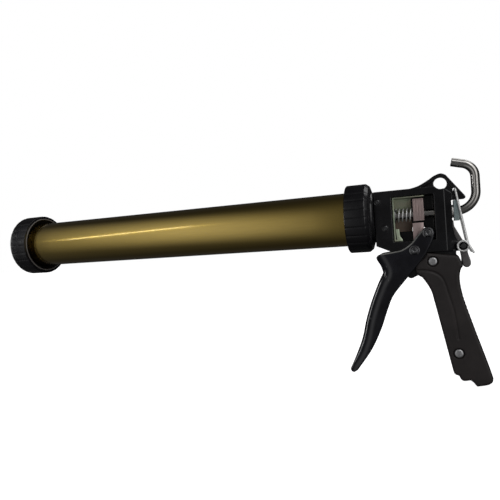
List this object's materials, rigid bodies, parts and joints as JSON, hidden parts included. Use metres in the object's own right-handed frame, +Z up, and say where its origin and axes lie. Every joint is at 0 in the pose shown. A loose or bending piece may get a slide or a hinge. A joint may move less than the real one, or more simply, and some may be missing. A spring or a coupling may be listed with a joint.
{
  "type": "jerky gun",
  "caption": "Hand gun with a long metal barrel, screwed end caps, hooked push rod and piston, and a squeeze trigger with a pistol grip, for pressing minced meat into strips.",
  "frame": {"origin": "bottom centre of the whole gun's bounding box, at rest with the push rod fully forward", "axes": "+X along the barrel towards the hook and the user, +Z up, the grip hanging towards -Z"},
  "size_m": [0.5534, 0.073, 0.2139],
  "materials": {
    "gold_anodised": "gold-olive bright anodised aluminium tube",
    "cap_plastic": "black moulded plastic with broad lengthwise ribs",
    "cast_black": "die-cast aluminium with a black gloss coat",
    "lever_black": "die-cast aluminium with a smooth black gloss coat",
    "grip_plastic": "dark brown-black moulded plastic",
    "rod_steel": "drawn bright steel rod",
    "spring_steel": "bright plated spring wire",
    "zinc_plate": "steel with a greenish zinc plating",
    "plate_steel": "hardened steel with a warm brown-grey tint",
    "screw_steel": "zinc-plated steel",
    "rubber": "black food-safe rubber",
    "nozzle_plastic": "off-white food-safe plastic",
    "bronze": "plain sintered bronze",
    "lever_grey": "steel with a dark grey phosphate finish",
    "black_steel": "blackened steel pins, clips and screws",
    "blue_zinc": "blue-grey zinc-plated steel block"
  },
  "bodies": {
    "gun_body": {"barrel": "gold_anodised", "rear_gasket": "rubber", "barrel_seat": "cast_black", "front_rod_bush": "bronze", "neck_screw_1": "black_steel", "neck_screw_2": "black_steel", "neck_screw_3": "black_steel", "neck_screw_4": "black_steel", "frame": "cast_black", "rear_rod_bush": "bronze", "spring_bracket": "zinc_plate", "return_spring": "spring_steel", "spring_washer": "screw_steel", "pivot_pin": "black_steel", "pivot_clip": "black_steel", "grip_left_shell": "grip_plastic", "grip_right_shell": "grip_plastic", "grip_screw_upper": "screw_steel", "grip_screw_lower": "screw_steel", "grip_nut_upper": "screw_steel", "grip_nut_lower": "screw_steel", "brake_wave_washer": "spring_steel", "release_pin": "black_steel", "release_spring": "spring_steel"},
    "push_rod_and_piston": {"push_rod": "rod_steel", "piston_front_disc": "rod_steel", "piston_cup": "rubber", "piston_rear_disc": "rod_steel", "piston_nut": "screw_steel", "piston_collar": "screw_steel"},
    "trigger": {"trigger": "lever_black", "drive_pin": "black_steel", "drive_clip": "black_steel"},
    "drive_plates": {"grip_plate_1": "plate_steel", "grip_plate_2": "plate_steel", "grip_plate_3": "plate_steel", "grip_plate_4": "plate_steel", "thrust_block": "plate_steel"},
    "release_lever": {"release_lever": "lever_grey"},
    "brake_plate": {"brake_plate": "blue_zinc"},
    "nozzle": {"strip_nozzle": "nozzle_plastic", "front_gasket": "rubber"},
    "front_cap": {"front_cap": "cap_plastic"},
    "rear_cap": {"rear_cap": "cap_plastic"}
  },
  "joints": [
    {"name": "rod_slide", "type": "slide", "parent": "gun_body", "child": "push_rod_and_piston", "axis": [1, 0, 0], "range_m": [0, 0.385]},
    {"name": "trigger_pull", "type": "hinge", "parent": "gun_body", "child": "trigger", "pos_m": [0.2158, 0, 0.1294], "axis": [0, -1, 0], "range_deg": [0, 32], "stiffness_Nm_per_rad": 0.6, "springref_deg": -28.65, "deforming": ["return_spring"]},
    {"name": "drive_slide", "type": "slide", "parent": "gun_body", "child": "drive_plates", "axis": [-1, 0, 0], "range_m": [0, 0.0102]},
    {"name": "release_press", "type": "hinge", "parent": "gun_body", "child": "release_lever", "pos_m": [0.2583, 0, 0.1308], "axis": [0, 1, 0], "range_deg": [0, 5], "stiffness_Nm_per_rad": 0.2, "springref_deg": -28.65},
    {"name": "brake_tilt", "type": "hinge", "parent": "gun_body", "child": "brake_plate", "pos_m": [0.2525, 0, 0.174], "axis": [0, -1, 0], "range_deg": [0, 5.1]},
    {"name": "nozzle_off", "type": "slide", "parent": "gun_body", "child": "nozzle", "axis": [-1, 0, 0], "range_m": [0, 0.04]},
    {"name": "front_cap_turn", "type": "hinge", "parent": "nozzle", "child": "front_cap", "pos_m": [-0.2507, 0, 0.1638], "axis": [-1, 0, 0], "range_deg": [0, 360]},
    {"name": "rear_cap_turn", "type": "hinge", "parent": "gun_body", "child": "rear_cap", "pos_m": [0.1663, 0, 0.1638], "axis": [-1, 0, 0], "range_deg": [0, 360]}
  ],
  "couplings": [
    {"joint": "drive_slide", "follows": "trigger_pull", "m_per_rad": 0.0182},
    {"joint": "brake_tilt", "follows": "release_press", "ratio": 1}
  ]
}
